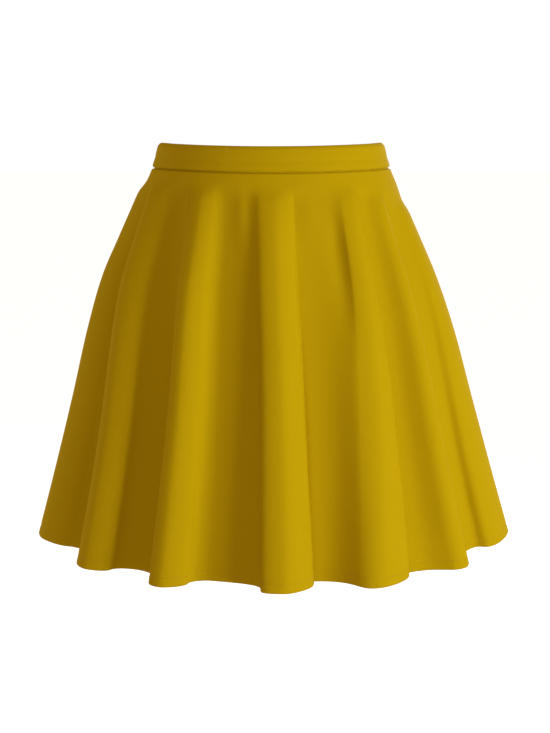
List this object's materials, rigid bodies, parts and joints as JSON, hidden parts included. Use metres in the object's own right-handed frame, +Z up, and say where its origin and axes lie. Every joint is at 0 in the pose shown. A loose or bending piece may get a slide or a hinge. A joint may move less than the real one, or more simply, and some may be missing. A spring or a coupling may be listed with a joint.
{
  "type": "circle skirt",
  "caption": "Short flared pull-on skirt of plain knit cloth with a waistband, falling in deep uneven folds; hollow and open at waist and hem.",
  "frame": {"origin": "on the skirt's upright axis, half way up the waistband's sides", "axes": "+Z up, -Y towards the front, +X to the right of someone looking at the front"},
  "size_m": [0.4957, 0.3965, 0.4227],
  "materials": {
    "cloth": "plain mustard-yellow stretch knit, matte with a slight sheen"
  },
  "bodies": {
    "root": {"waistband": "cloth", "front_panel": "cloth", "back_panel": "cloth"}
  },
  "joints": []
}
